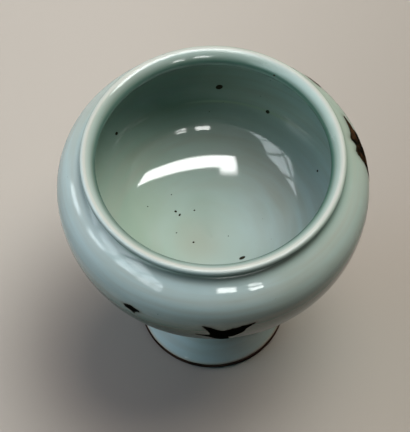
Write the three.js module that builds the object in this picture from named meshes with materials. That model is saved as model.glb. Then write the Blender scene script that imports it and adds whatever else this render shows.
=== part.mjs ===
// Footed bowl: a celadon-glazed bowl with a round shoulder and a rolled lip, on a hollow flared stem foot.
// It is thrown in three clay sections, joined with slip, then glazed and fired.
// Units are millimetres, +Z is up, and the origin is on the axis, on the plane that the foot stands on.
// The outlines are drawn as half sections (radius, height) of the finished, glazed surface.
// The clay lies one glaze coat and one fit gap under them.
import * as THREE from "three";

// Bowl, measured over the glaze
const bellyRadius = 80;
const undersideHeight = 69.2;
const lowerDepth = 64.3;
const lowerFullness = 2.2;
const shoulderRise = 36.8;
const shoulderFullness = 2.19;
const shoulderReach = 21;
const bowlWall = 5.5;
const floorThickness = 6;

// Lip, measured over the glaze
const throatToCrest = 5.7;
const crestToRim = 2.2;
const lipInnerDrop = 6.3;
const lipOuterDrop = 2.5;
const lipUnderside = 2;
const lipUndersideWidth = 1.9;
const creaseFillet = 1.6;
const lipRiseOverCrease = 6.3;

// Stem foot, measured over the glaze
const footRadius = 41.2;
const footRingWidth = 7.5;
const footRingEdge = 0.5;
const bareRingHeight = 2.2;
const bareWellHeight = 3;
const neckRadius = 24.5;
const neckWall = 7;
const neckHeight = 42;
const neckToUnderside = 24;
const stemShoulder = 12.5;
const flareSlope = 0.85;
const wellFlareSlope = 1.3;
const wellCornerRadius = 6;

// Glaze, slip and fits
const glazeThickness = 1;
const slipThickness = 0.8;
const fitGap = 0.3;
const seamBelowBelly = 26;

// How finely the curves and the turned surfaces are cut
const segmentsAround = 40;
const stepsOnLongCurve = 6;
const stepsOnBelly = 8;
const stepsOnShortCurve = 3;

// Heights and radii that follow from the sizes above
const bellyHeight = undersideHeight + lowerDepth;
const throatRadius = bellyRadius - shoulderReach;
const rimRadius = throatRadius + throatToCrest + crestToRim;
const creaseRadius = rimRadius - lipUndersideWidth - creaseFillet / 2;
const creaseHeight = onSuperellipse(creaseRadius, bellyRadius, shoulderRise, shoulderFullness) + bellyHeight;
const crestRadius = throatRadius + throatToCrest;
const crestHeight = creaseHeight + lipRiseOverCrease;
const clayDepth = glazeThickness + fitGap;
const baseHeight = undersideHeight - fitGap;
const floorHeight = baseHeight + floorThickness + clayDepth - fitGap;
const seamHeight = bellyHeight - seamBelowBelly;
const innerBellyRadius = bellyRadius - bowlWall;

function point(radius, height) {
  return new THREE.Vector2(radius, height);
}

// Height above the centre of a superellipse, at a radius
function onSuperellipse(radius, halfWidth, halfHeight, fullness) {
  const rest = 1 - (radius / halfWidth) ** fullness;
  return halfHeight * rest ** (1 / fullness);
}

// Slope of that curve: how far it falls for each millimetre outwards
function superellipseFall(radius, halfWidth, halfHeight, fullness) {
  const height = onSuperellipse(radius, halfWidth, halfHeight, fullness);
  return (halfHeight / halfWidth) ** fullness * (radius / height) ** (fullness - 1);
}

// A quarter of a superellipse from its widest point to a radius, up (side 1) or down (side -1)
function bellyCurve(toRadius, halfWidth, halfHeight, fullness, side, steps) {
  const curve = [];
  const lastAngle = Math.acos(Math.min(1, (toRadius / halfWidth) ** (fullness / 2)));
  for (let i = 0; i <= steps; i += 1) {
    const angle = (lastAngle * i) / steps;
    const radius = i === steps ? toRadius : halfWidth * Math.cos(angle) ** (2 / fullness);
    const rise = halfHeight * Math.sin(angle) ** (2 / fullness);
    curve.push(point(radius, bellyHeight + side * rise));
  }
  return curve;
}

// An elliptical arc, with its angles in degrees from the +radius direction
function arc(centre, halfWidth, halfHeight, fromDegrees, toDegrees, steps) {
  const curve = [];
  for (let i = 0; i <= steps; i += 1) {
    const angle = THREE.MathUtils.degToRad(fromDegrees + ((toDegrees - fromDegrees) * i) / steps);
    curve.push(point(centre.x + halfWidth * Math.cos(angle), centre.y + halfHeight * Math.sin(angle)));
  }
  return curve;
}

// A smooth curve between two points, leaving and arriving along the given directions
function blend(from, leaving, to, arriving, steps) {
  const reach = from.distanceTo(to) / 2.6;
  const first = from.clone().addScaledVector(leaving.clone().normalize(), reach);
  const second = to.clone().addScaledVector(arriving.clone().normalize(), -reach);
  return new THREE.CubicBezierCurve(from, first, second, to).getPoints(steps);
}

// Curves joined end to end, with each shared point kept once
function joined(...curves) {
  const outline = [];
  for (const curve of curves) {
    for (const next of curve) {
      const last = outline.at(-1);
      if (!last || last.distanceTo(next) > 0.02) outline.push(next.clone());
    }
  }
  return outline;
}

// The outline moved to its left by a distance, which is into the clay on every outline here
function inset(outline, distance) {
  return outline.map((here, i) => {
    const before = outline[Math.max(i - 1, 0)];
    const after = outline[Math.min(i + 1, outline.length - 1)];
    const along = after.clone().sub(before).normalize();
    const moved = point(here.x - along.y * distance, here.y + along.x * distance);
    if (here.x === 0) moved.x = 0;
    return moved;
  });
}

// The stretch of a rising or falling outline between two heights, cut exactly at both
function between(outline, low, high) {
  const kept = [];
  outline.forEach((here, i) => {
    const before = outline[i - 1];
    if (before) {
      const cuts = [low, high].filter((cut) => (before.y - cut) * (here.y - cut) < 0);
      cuts.sort((a, b) => Math.abs(a - before.y) - Math.abs(b - before.y));
      for (const cut of cuts) {
        const share = (cut - before.y) / (here.y - before.y);
        kept.push(point(before.x + (here.x - before.x) * share, cut));
      }
    }
    if (here.y >= low && here.y <= high) kept.push(here.clone());
  });
  return kept;
}

// Outside of the stem, from the glaze's lower edge up to the narrow neck
function stemOutside() {
  const edge = point(footRadius, bareRingHeight + fitGap);
  const neck = point(neckRadius, neckHeight);
  return blend(edge, point(-1, flareSlope), neck, point(0, 1), stepsOnLongCurve);
}

// Where the neck spreads under the bowl, up to the bowl's own curve
function neckToBowl() {
  const meetingRadius = neckRadius + stemShoulder;
  const meetingDrop = onSuperellipse(meetingRadius, bellyRadius, lowerDepth, lowerFullness);
  const meeting = point(meetingRadius, bellyHeight - meetingDrop);
  const slope = superellipseFall(meetingRadius, bellyRadius, lowerDepth, lowerFullness);
  const neckTop = point(neckRadius, undersideHeight - neckToUnderside);
  return blend(neckTop, point(0, 1), meeting, point(1, slope), stepsOnLongCurve);
}

// Bowl from the stem out to the belly, and in over the shoulder to the crease
function bowlOutside() {
  const fromRadius = neckRadius + stemShoulder;
  const lower = bellyCurve(fromRadius, bellyRadius, lowerDepth, lowerFullness, -1, stepsOnBelly);
  const startOfCrease = creaseRadius + creaseFillet;
  const upper = bellyCurve(startOfCrease, bellyRadius, shoulderRise, shoulderFullness, 1, stepsOnLongCurve);
  return joined(lower.reverse(), upper);
}

// The soft crease under the lip and the rolled lip, to the throat
function lip() {
  const startRadius = creaseRadius + creaseFillet;
  const startRise = onSuperellipse(startRadius, bellyRadius, shoulderRise, shoulderFullness);
  const start = point(startRadius, bellyHeight + startRise);
  const fall = superellipseFall(startRadius, bellyRadius, shoulderRise, shoulderFullness);
  const rimCentre = point(rimRadius - lipUndersideWidth, crestHeight - lipOuterDrop);
  const underside = arc(rimCentre, lipUndersideWidth, lipUnderside, -70, 0, stepsOnShortCurve);
  const crease = blend(start, point(-1, fall), underside[0], point(1, 0.4), stepsOnShortCurve);
  const outerCentre = point(crestRadius, crestHeight - lipOuterDrop);
  const outer = arc(outerCentre, crestToRim, lipOuterDrop, 0, 90, stepsOnShortCurve);
  const innerCentre = point(crestRadius, crestHeight - lipInnerDrop);
  const inner = arc(innerCentre, throatToCrest, lipInnerDrop, 90, 180, stepsOnShortCurve + 2);
  return joined(crease, underside, outer, inner);
}

// Inside of the bowl, from the throat out under the shoulder and down to the middle of the floor
function bowlInside() {
  const innerRise = shoulderRise - bowlWall;
  const innerDepth = bellyHeight - floorHeight;
  const startRadius = throatRadius + throatToCrest / 2;
  const startRise = onSuperellipse(startRadius, innerBellyRadius, innerRise, shoulderFullness);
  const start = point(startRadius, bellyHeight + startRise);
  const fall = superellipseFall(startRadius, innerBellyRadius, innerRise, shoulderFullness);
  const throat = point(throatRadius, crestHeight - lipInnerDrop);
  const under = blend(throat, point(0, -1), start, point(1, -fall), stepsOnShortCurve);
  const upper = bellyCurve(startRadius, innerBellyRadius, innerRise, shoulderFullness, 1, stepsOnLongCurve);
  const lower = bellyCurve(0, innerBellyRadius, innerDepth, lowerFullness, -1, stepsOnBelly);
  return joined(under, upper.reverse(), lower);
}

// Inside of the hollow foot, from its ceiling's middle down to the glaze's lower edge
function wellInside() {
  const radius = neckRadius - neckWall;
  const ceiling = baseHeight - clayDepth;
  const cornerCentre = point(radius - wellCornerRadius, ceiling - wellCornerRadius);
  const corner = arc(cornerCentre, wellCornerRadius, wellCornerRadius, 90, 0, stepsOnShortCurve);
  const edge = point(footRadius - footRingWidth, bareWellHeight + fitGap);
  const neck = point(radius, neckHeight);
  const flare = blend(neck, point(0, -1), edge, point(1, -wellFlareSlope), stepsOnLongCurve);
  return joined([point(0, ceiling)], corner, flare);
}

const outside = joined(stemOutside(), neckToBowl(), bowlOutside(), lip(), bowlInside());
const well = wellInside();
const clayOutside = inset(outside, clayDepth);
const clayWell = inset(well, clayDepth);
const crestIndex = clayOutside.reduce((best, p, i) => (p.y > clayOutside[best].y ? i : best), 0);
const clayUpSide = clayOutside.slice(0, crestIndex + 1);
const clayDownSide = clayOutside.slice(crestIndex);

// A half section turned about the axis, with the Y of the lathe laid along +Z
function turned(section) {
  const geometry = new THREE.LatheGeometry(section, segmentsAround);
  return geometry.rotateX(Math.PI / 2);
}

// A section that stays off the axis closes on its own first point
function closed(section) {
  return [...section, section[0].clone()];
}

// Hollow stem foot of bare clay, with a flat ring to stand on
function stemFoot() {
  const top = baseHeight - fitGap - slipThickness - fitGap;
  const outer = between(clayUpSide, bareRingHeight + fitGap, top);
  const inner = between(clayWell, bareWellHeight + fitGap, top);
  const ringInside = footRadius - footRingWidth;
  const ring = [
    point(inner.at(-1).x, bareWellHeight),
    point(ringInside, bareWellHeight),
    point(ringInside, footRingEdge),
    point(ringInside + footRingEdge, 0),
    point(footRadius - footRingEdge, 0),
    point(footRadius, footRingEdge),
    point(footRadius, bareRingHeight),
    point(outer[0].x, bareRingHeight),
  ];
  return turned(closed(joined(ring, outer, inner)));
}

// Slip that joins the stem foot to the bowl's base
function footSlip() {
  const top = baseHeight - fitGap;
  const outer = between(clayUpSide, top - slipThickness, top);
  const innerRadius = between(clayWell, 0, top - slipThickness)[0].x;
  const inner = [point(innerRadius, top), point(innerRadius, top - slipThickness)];
  return turned(closed(joined(outer, inner)));
}

// Lower half of the bowl, thrown as one section with its flat turned base
function lowerBowl() {
  const rim = seamHeight - slipThickness / 2 - fitGap;
  const outer = between(clayUpSide, baseHeight, rim);
  const inner = between(clayDownSide, 0, rim);
  return turned(joined([point(0, baseHeight)], outer, inner));
}

// Slip that joins the two halves of the bowl, at the line that shows inside it
function seamSlip() {
  const low = seamHeight - slipThickness / 2;
  const high = seamHeight + slipThickness / 2;
  return turned(closed(joined(between(clayUpSide, low, high), between(clayDownSide, low, high))));
}

// Upper half of the bowl: belly, shoulder, crease and rolled lip
function upperBowl() {
  const foot = seamHeight + slipThickness / 2 + fitGap;
  const outer = between(clayUpSide, foot, crestHeight);
  const inner = between(clayDownSide, foot, crestHeight);
  return turned(closed(joined(outer, inner)));
}

// One glaze coat, from above the foot ring over the lip to the middle of the floor
function glazeCoat() {
  const claySide = inset(outside, glazeThickness).reverse();
  claySide.at(-1).y = outside[0].y;
  return turned([...claySide, ...outside]);
}

// Glaze inside the hollow foot
function footWellGlaze() {
  const claySide = inset(well, glazeThickness).reverse();
  claySide[0].y = well.at(-1).y;
  return turned([...well, ...claySide]);
}

const buffClay = new THREE.MeshStandardMaterial({ color: 0x6b4a35, roughness: 0.85, metalness: 0 });
const paleSlip = new THREE.MeshStandardMaterial({ color: 0x9a8068, roughness: 0.9, metalness: 0 });
const celadon = new THREE.MeshStandardMaterial({ color: 0xa4b4ab, roughness: 0.12, metalness: 0 });

const footedBowl = new THREE.Group();

function addPiece(name, geometry, material) {
  const mesh = new THREE.Mesh(geometry, material);
  mesh.name = name;
  footedBowl.add(mesh);
}

addPiece("stem_foot", stemFoot(), buffClay);
addPiece("foot_joint_slip", footSlip(), paleSlip);
addPiece("lower_bowl", lowerBowl(), buffClay);
addPiece("body_seam_slip", seamSlip(), paleSlip);
addPiece("upper_bowl", upperBowl(), buffClay);
addPiece("glaze_coat", glazeCoat(), celadon);
addPiece("foot_well_glaze", footWellGlaze(), celadon);

export default footedBowl;
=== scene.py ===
# A footed bowl in pale celadon glaze with iron splashes, on a hollow flared stem foot.
# Sizes are written in millimetres and turned into metres where a mesh is made. Those of the floor and the
# lights are in metres.
import math

import bpy
import numpy as np
from mathutils import Matrix, Vector, noise


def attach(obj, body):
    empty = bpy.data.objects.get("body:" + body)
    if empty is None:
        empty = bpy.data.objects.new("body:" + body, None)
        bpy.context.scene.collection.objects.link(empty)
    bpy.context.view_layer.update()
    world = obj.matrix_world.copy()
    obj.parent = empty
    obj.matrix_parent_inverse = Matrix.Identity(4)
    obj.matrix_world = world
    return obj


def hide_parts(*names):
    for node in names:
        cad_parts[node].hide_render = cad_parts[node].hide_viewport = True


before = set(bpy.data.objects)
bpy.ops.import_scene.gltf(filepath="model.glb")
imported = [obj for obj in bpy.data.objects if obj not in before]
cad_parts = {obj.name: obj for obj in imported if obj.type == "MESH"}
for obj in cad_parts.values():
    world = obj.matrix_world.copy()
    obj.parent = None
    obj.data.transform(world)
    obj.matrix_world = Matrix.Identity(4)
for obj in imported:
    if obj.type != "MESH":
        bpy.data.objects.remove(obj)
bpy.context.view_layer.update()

# Camera
# It looks down into the bowl from the front, from almost a metre away, with a long lens. Like the
# photograph, it is turned and rolled by a fraction of a degree.
MM = 0.001
camera_reach = 949.97
camera_elevation = math.radians(60.482)
camera_tilt = math.radians(60.466)
camera_turn = math.radians(-0.2516)
camera_roll = math.radians(0.2763)
aimed_height = 100.82
long_side_pixels = 432
focal_pixels = 1800
sensor_width = 36


def camera_directions():
    """The camera's right, up and forward directions."""
    forward = Vector((0, math.cos(camera_tilt), -math.sin(camera_tilt)))
    right = Vector((1, 0, 0))
    up = right.cross(forward)
    forward = math.cos(camera_turn) * forward + math.sin(camera_turn) * right
    right = forward.cross(up)
    rolled_right = math.cos(camera_roll) * right + math.sin(camera_roll) * up
    rolled_up = math.cos(camera_roll) * up - math.sin(camera_roll) * right
    return rolled_right, rolled_up, forward


def new_object(name, data):
    """A new object that holds the data, linked to the scene."""
    made = bpy.data.objects.new(name, data)
    bpy.context.scene.collection.objects.link(made)
    return made


camera_data = bpy.data.cameras.new("camera")
camera_data.sensor_fit = "AUTO"
camera_data.sensor_width = sensor_width
camera_data.lens = sensor_width * focal_pixels / long_side_pixels
camera_data.clip_start = 0.01
camera_data.clip_end = 50
camera = new_object("camera", camera_data)
camera_right, camera_up, camera_forward = camera_directions()
camera_place = Vector((
    0,
    -camera_reach * math.cos(camera_elevation),
    aimed_height + camera_reach * math.sin(camera_elevation),
)) * MM
camera_axes = Matrix((camera_right, camera_up, -camera_forward)).transposed()
camera.matrix_world = Matrix.Translation(camera_place) @ camera_axes.to_4x4()
bpy.context.scene.camera = camera

# Glaze coat
# One thick glossy celadon glaze covers the bowl from above the foot ring, over the rolled lip, to the
# middle of the floor. It is thin and ivory on the lip's crest and pools dark green in the crease under it.
# Its dark green in the crease, under the belly and high on the inner wall is partly painted shade.
belly_radius = 80
underside_height = 69.2
lower_depth = 64.3
lower_fullness = 2.2
shoulder_rise = 36.8
shoulder_fullness = 2.19
shoulder_reach = 21
bowl_wall = 5.5
floor_thickness = 6
throat_to_crest = 5.7
crest_to_rim = 2.2
lip_inner_drop = 6.3
lip_outer_drop = 2.5
lip_underside = 2
lip_underside_width = 1.9
lip_underside_from = -70
lip_underside_slope = 0.4
crease_fillet = 1.6
lip_rise_over_crease = 6.3
lip_shoulder_drop = 0.12
lip_shoulder_width = 0.4
lip_chamfer_slope = 0.5
lip_chamfer_reach = 0.3
foot_radius = 41.2
bare_ring_height = 2.2
neck_radius = 24.5
neck_height = 42
neck_to_underside = 24
stem_shoulder = 12.5
flare_slope = 1.15
glaze_thickness = 1
fit_gap = 0.3
seam_below_belly = 26
seam_ridge = 0.05
seam_ridge_width = 0.8
finger_hollow = 0.083
finger_hollow_place = (95.2, 2.1)
glaze_edge_lap = 0.25
glaze_edge_roundness = 1.5
glaze_edge_reach = 0.5
blend_reach = 1 / 2.6
curve_steps = 60
least_gap = 0.004
segments_around = 256


def superellipse_height(radius, half_width, half_height, fullness):
    return half_height * (1 - (radius / half_width) ** fullness) ** (1 / fullness)


def superellipse_fall(radius, half_width, half_height, fullness):
    height = superellipse_height(radius, half_width, half_height, fullness)
    return (half_height / half_width) ** fullness * (radius / height) ** (fullness - 1)


belly_height = underside_height + lower_depth
throat_radius = belly_radius - shoulder_reach
rim_radius = throat_radius + throat_to_crest + crest_to_rim
crease_radius = rim_radius - lip_underside_width - crease_fillet / 2
crest_radius = throat_radius + throat_to_crest
lower_half = (belly_radius, lower_depth, lower_fullness)
upper_half = (belly_radius, shoulder_rise, shoulder_fullness)
crest_height = lip_rise_over_crease + belly_height + superellipse_height(crease_radius, *upper_half)
clay_depth = glaze_thickness + fit_gap
base_height = underside_height - fit_gap
floor_height = base_height + floor_thickness + glaze_thickness
seam_height = belly_height - seam_below_belly
inner_lower_half = (belly_radius - bowl_wall, belly_height - floor_height, lower_fullness)
inner_upper_half = (belly_radius - bowl_wall, shoulder_rise - bowl_wall, shoulder_fullness)


def belly_curve(to_radius, half_width, half_height, fullness, side):
    """A quarter of a superellipse from its widest point to a radius, up (side 1) or down (side -1)."""
    last = math.acos(min(1, (to_radius / half_width) ** (fullness / 2)))
    angles = np.linspace(0, last, curve_steps)
    radii = half_width * np.cos(angles) ** (2 / fullness)
    radii[-1] = to_radius
    heights = belly_height + side * half_height * np.sin(angles) ** (2 / fullness)
    return np.column_stack([radii, heights])


def arc(centre, half_width, half_height, from_degrees, to_degrees):
    angles = np.radians(np.linspace(from_degrees, to_degrees, curve_steps))
    return np.column_stack([
        centre[0] + half_width * np.cos(angles),
        centre[1] + half_height * np.sin(angles),
    ])


def blend(start, leaving, end, arriving, reach=blend_reach):
    """A smooth curve between two points, leaving and arriving along the given directions."""
    start, end = np.array(start, float), np.array(end, float)
    length = np.linalg.norm(end - start) * reach
    first = start + np.array(leaving) / np.linalg.norm(leaving) * length
    second = end - np.array(arriving) / np.linalg.norm(arriving) * length
    t = np.linspace(0, 1, curve_steps)[:, None]
    return (1 - t) ** 3 * start + 3 * (1 - t) ** 2 * t * first + 3 * (1 - t) * t**2 * second + t**3 * end


def joined(*curves):
    """Curves joined end to end, with each shared point kept once."""
    points = np.vstack(curves)
    gaps = np.linalg.norm(np.diff(points, axis=0), axis=1)
    return points[np.append(True, gaps > least_gap)]


def lengths_along(outline):
    return np.append(0, np.cumsum(np.linalg.norm(np.diff(outline, axis=0), axis=1)))


def stepped(outline, spacing_at):
    """The outline again with points as far apart as spacing_at says for each length along it."""
    lengths = lengths_along(outline)
    stations = [0.0]
    while stations[-1] < lengths[-1]:
        stations.append(stations[-1] + spacing_at(stations[-1]))
    stations = np.array(stations) * lengths[-1] / stations[-1]
    return np.column_stack([np.interp(stations, lengths, outline[:, k]) for k in (0, 1)])


def left_normals(outline):
    """Unit directions to the left of the outline, which is into the clay on every outline here."""
    along = np.gradient(outline, axis=0)
    along /= np.linalg.norm(along, axis=1)[:, None]
    return np.column_stack([-along[:, 1], along[:, 0]])


def inset(outline, distance):
    moved = outline + left_normals(outline) * distance
    moved[outline[:, 0] < 1e-6, 0] = 0
    return moved


def stem_outside():
    edge = (foot_radius, bare_ring_height + fit_gap)
    return blend(edge, (-1, flare_slope), (neck_radius, neck_height), (0, 1))


def neck_to_bowl():
    radius = neck_radius + stem_shoulder
    drop = superellipse_height(radius, *lower_half)
    slope = superellipse_fall(radius, *lower_half)
    start = (neck_radius, underside_height - neck_to_underside)
    return blend(start, (0, 1), (radius, belly_height - drop), (1, slope))


def bowl_outside():
    lower = belly_curve(neck_radius + stem_shoulder, *lower_half, -1)
    upper = belly_curve(crease_radius + crease_fillet, *upper_half, 1)
    return joined(lower[::-1], upper)


def lip_inside_packed():
    return arc((crest_radius, crest_height - lip_inner_drop), throat_to_crest, lip_inner_drop, 90, 180)


def lip_inside_finished():
    """The lip's inner side as the wet sponge left it: a tight crest, then a long soft slope inwards."""
    shoulder = (crest_radius - lip_shoulder_width, crest_height - lip_shoulder_drop)
    throat = (throat_radius, crest_height - lip_inner_drop)
    return blend(shoulder, (-1, -lip_chamfer_slope), throat, (0, -1), lip_chamfer_reach)


def rolled_lip(inner):
    radius = crease_radius + crease_fillet
    rise = superellipse_height(radius, *upper_half)
    fall = superellipse_fall(radius, *upper_half)
    rim_centre = (rim_radius - lip_underside_width, crest_height - lip_outer_drop)
    underside = arc(rim_centre, lip_underside_width, lip_underside, lip_underside_from, 0)
    crease = blend((radius, belly_height + rise), (-1, fall), underside[0], (1, lip_underside_slope))
    outer = arc((crest_radius, crest_height - lip_outer_drop), crest_to_rim, lip_outer_drop, 0, 90)
    return joined(crease, underside, outer, inner)


def bowl_inside():
    radius = throat_radius + throat_to_crest / 2
    rise = superellipse_height(radius, *inner_upper_half)
    fall = superellipse_fall(radius, *inner_upper_half)
    throat = (throat_radius, crest_height - lip_inner_drop)
    under = blend(throat, (0, -1), (radius, belly_height + rise), (1, -fall))
    upper = belly_curve(radius, *inner_upper_half, 1)
    lower = belly_curve(0, *inner_lower_half, -1)
    return joined(under, upper[::-1], lower)


def whole_line(lip_inside):
    return joined(stem_outside(), neck_to_bowl(), bowl_outside(), rolled_lip(lip_inside), bowl_inside())


whole_outside = whole_line(lip_inside_packed())
finished_outside = whole_line(lip_inside_finished())
crest_station = lengths_along(whole_outside)[whole_outside[:, 1].argmax()]
lip_step = 0.45
lip_step_reach = 13
near_lip_step = 0.9
near_lip_reach = 22
glaze_edge_span = 8
wall_step = 1.75
seam_step = 0.4
seam_step_reach = 4
hollow_step = 0.8
hollow_step_reach = 8
seam_to_hollow = 16
back_step = 4.5
back_lip_step = 1.2
back_lip_reach = 12
back_edge_shift = (-0.05, 0.2)


def rounded_glaze_edge(outline):
    """The glaze's lower edge drawn in to a soft roll just over the bare ring."""
    lengths = lengths_along(outline)
    kept = outline[lengths > glaze_edge_roundness]
    start = (outline[0][0] - glaze_thickness, bare_ring_height + fit_gap - glaze_edge_lap)
    along = kept[1] - kept[0]
    return joined(blend(start, (1, 0), kept[0], along, glaze_edge_reach), kept)


def coat_spacing(length):
    """Fine steps round the lip, longer ones on the plain walls."""
    from_lip = abs(length - crest_station)
    if from_lip < lip_step_reach:
        return lip_step
    return near_lip_step if from_lip < near_lip_reach or length < glaze_edge_span else wall_step


def near(values, middle, width):
    """One at the middle, falling away softly on both sides."""
    return np.exp(-(((values - middle) / width) ** 2))


def add_thrown_rings(outline):
    """Inside, a low ridge where the two thrown halves were joined, and a shallow finger hollow below it."""
    inside = lengths_along(outline) > crest_station
    ridge = seam_ridge * near(outline[:, 1], seam_height, seam_ridge_width)
    hollow = finger_hollow * near(outline[:, 1], *finger_hollow_place)
    return outline - left_normals(outline) * ((ridge - hollow) * inside)[:, None]


plain_face = stepped(rounded_glaze_edge(finished_outside), coat_spacing)
plain_lengths = lengths_along(plain_face)
seam_station = plain_lengths[(plain_face[:, 1] < seam_height) & (plain_lengths > crest_station)][0]


def seam_spacing(length):
    """Finer steps also at the joint of the two halves and at the finger hollow."""
    past_seam = length - seam_station
    if abs(past_seam) < seam_step_reach:
        return seam_step
    return hollow_step if abs(past_seam - seam_to_hollow) < hollow_step_reach else coat_spacing(length)


def back_spacing(length):
    return back_step if abs(length - crest_station) > back_lip_reach else back_lip_step


coat_face = add_thrown_rings(stepped(rounded_glaze_edge(finished_outside), seam_spacing))
coat_face[-1, 0] = 0
coat_back = inset(stepped(whole_outside, back_spacing), glaze_thickness)
coat_back[0] = coat_face[0] + back_edge_shift
# How deep the glaze pools and is painted darker as painted shade, and where: a fade gives the heights, or the
# lengths past the crest, where it starts and where it is full, and a place gives its middle and its width.
# Painted shade: the glaze is painted darker green below the belly and down the stem, partly for real pooling.
belly_pool_and_shade = 0.92
belly_pool_fade = (belly_height + 14, belly_height - 20)
underside_easing = 0.42
underside_fade = (106, 84)
stem_easing = 0.57
stem_fade = (60, 30)
# The crease under the lip is painted dark green: partly real pooling, partly painted shade from the lip
# above.
roll_fade = (-1.4, -4.2)
crease_search = 14
crease_width = 4.1
# Painted shade on the lip's inner face, just inside the crest.
inner_lip_shade = 0.34
inner_lip_shade_place = (7.2, 3.4)
# Painted shade on the upper inner wall under the overhanging shoulder, darkest towards the throat.
throat_shade = 0.08
throat_fade = (1, 7)
upper_wall_shade = 0.50
upper_wall_fade = (84, 118)
crest_line = 0.3
crest_outer_width = 1.45
crest_inner_width = 1.25
crest_dullness = 0.32
crest_dull_width = 1.8
crease_dullness = 0.66
crease_dull_before = 0.7
crease_dull_width = 1.2
bare_edge_middle = 0.4
bare_edge_width = 1.2


def ramp(values, nothing_at, full_at):
    """Nothing up to one value, one from another on, and a straight slope between them."""
    return np.clip((values - nothing_at) / (full_at - nothing_at), 0, 1)


def coat_marks(outline):
    """How the glaze varies along the outline: where it pools or is darkened as painted shade, where it is
    thin, and where it is dull.
    """
    lengths = lengths_along(outline)
    heights = outline[:, 1]
    past_crest = lengths - lengths[heights.argmax()]
    inside = past_crest > 0
    outer_lip = (past_crest < 0) & (past_crest > -crease_search)
    crease = lengths[outer_lip][outline[outer_lip, 0].argmin()]
    under_roll = (lengths > crease) & ~inside
    # Pooling and painted shade in the crease under the lip and up the lip's underside.
    in_crease = np.where(under_roll, ramp(past_crest, *roll_fade), near(lengths, crease, crease_width))
    # Painted shade below the belly, fading in under the belly line and easing on the underside and the stem.
    below_belly = ramp(heights, *belly_pool_fade) * (1 - underside_easing * ramp(heights, *underside_fade))
    below_belly *= (belly_pool_and_shade - stem_easing * ramp(heights, *stem_fade)) * ~inside
    # Painted shade on the lip's inner face.
    under_crest = inner_lip_shade * near(past_crest, *inner_lip_shade_place) * inside
    # Painted shade on the upper inner wall, under the shoulder.
    inner_wall = throat_shade + upper_wall_shade * ramp(heights, *upper_wall_fade)
    inner_wall *= ramp(past_crest, *throat_fade) * inside
    crest_width = np.where(past_crest < crest_line, crest_outer_width, crest_inner_width)
    dull_crest = crest_dullness * near(past_crest, 0, crest_dull_width)
    dull_crease = crease_dullness * near(lengths, crease - crease_dull_before, crease_dull_width)
    return {
        "pool_and_shade": in_crease + below_belly + under_crest + inner_wall,
        "thin": near(past_crest, crest_line, crest_width),
        "dull": dull_crest + dull_crease * ~inside,
        "bare_edge": near(lengths, bare_edge_middle, bare_edge_width),
    }


def set_mark(mesh, name, values, kind="FLOAT"):
    """Keeps a value or a vector for each point of a mesh, under a name that node trees can read."""
    mark = mesh.attributes.get(name) or mesh.attributes.new(name, kind, "POINT")
    mark.data.foreach_set("value" if kind == "FLOAT" else "vector", np.ravel(values))


def outline_object(name, outline, marks):
    """The half section as a bare line of points that carries its marks."""
    mesh = bpy.data.meshes.new(name)
    points = [(radius * MM, 0, height * MM) for radius, height in outline]
    mesh.from_pydata(points, [(i, i + 1) for i in range(len(points) - 1)], [])
    for mark, values in marks.items():
        set_mark(mesh, mark, np.clip(values, 0, 1))
    set_mark(mesh, "along", lengths_along(outline) * MM)
    return new_object(name, mesh)


def new_tree(name, kind, inputs, outputs):
    """An empty node tree with named inputs and outputs, what it is given, and its end."""
    tree = bpy.data.node_groups.new(name, kind)
    for side, sockets in (("INPUT", inputs), ("OUTPUT", outputs)):
        for socket_name, value_kind in sockets:
            tree.interface.new_socket(socket_name, in_out=side, socket_type="NodeSocket" + value_kind)
    return tree, tree.nodes.new("NodeGroupInput").outputs, tree.nodes.new("NodeGroupOutput").inputs


def put(tree, node, name, value):
    """Sets one input, given by its name or its number, or links an output to it."""
    socket = node.inputs[name]
    if isinstance(value, bpy.types.NodeSocket):
        tree.links.new(value, socket)
    else:
        socket.default_value = value


def add_node(tree, kind, settings=None, **inputs):
    """A node with its settings, and its inputs set or linked by name."""
    node = tree.nodes.new(kind)
    for key, value in (settings or {}).items():
        setattr(node, key, value)
    for key, value in inputs.items():
        put(tree, node, key.replace("_", " "), value)
    return node


def result_of(tree, kind, settings=None, **inputs):
    """The first output of a new node."""
    return add_node(tree, kind, settings, **inputs).outputs[0]


def maths(tree, operation, *values):
    node = tree.nodes.new("ShaderNodeMath")
    node.operation = operation
    for i, value in enumerate(values):
        put(tree, node, i, value)
    return node.outputs[0]


def product(tree, first, *others):
    for other in others:
        first = maths(tree, "MULTIPLY", first, other)
    return first


def excess(tree, value, limit):
    """How far the value is over the limit, or nothing."""
    return maths(tree, "MAXIMUM", maths(tree, "SUBTRACT", value, limit), 0)


def vector_maths(tree, operation, *values):
    node = tree.nodes.new("ShaderNodeVectorMath")
    node.operation = operation
    for i, value in enumerate(values):
        put(tree, node, "Scale" if operation == "SCALE" and i == 1 else i, value)
    return node.outputs["Value" if operation == "DOT_PRODUCT" else "Vector"]


def parts_of(tree, vector):
    return add_node(tree, "ShaderNodeSeparateXYZ", Vector=vector).outputs


def position(tree):
    return result_of(tree, "GeometryNodeInputPosition")


def named(tree, name, kind="FLOAT"):
    """The values that a mesh keeps under a name."""
    node = add_node(tree, "GeometryNodeInputNamedAttribute", {"data_type": kind}, Name=name)
    return node.outputs["Attribute"]


merge_distance = 0.004 * MM
unevenness_around = 3.0


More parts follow.
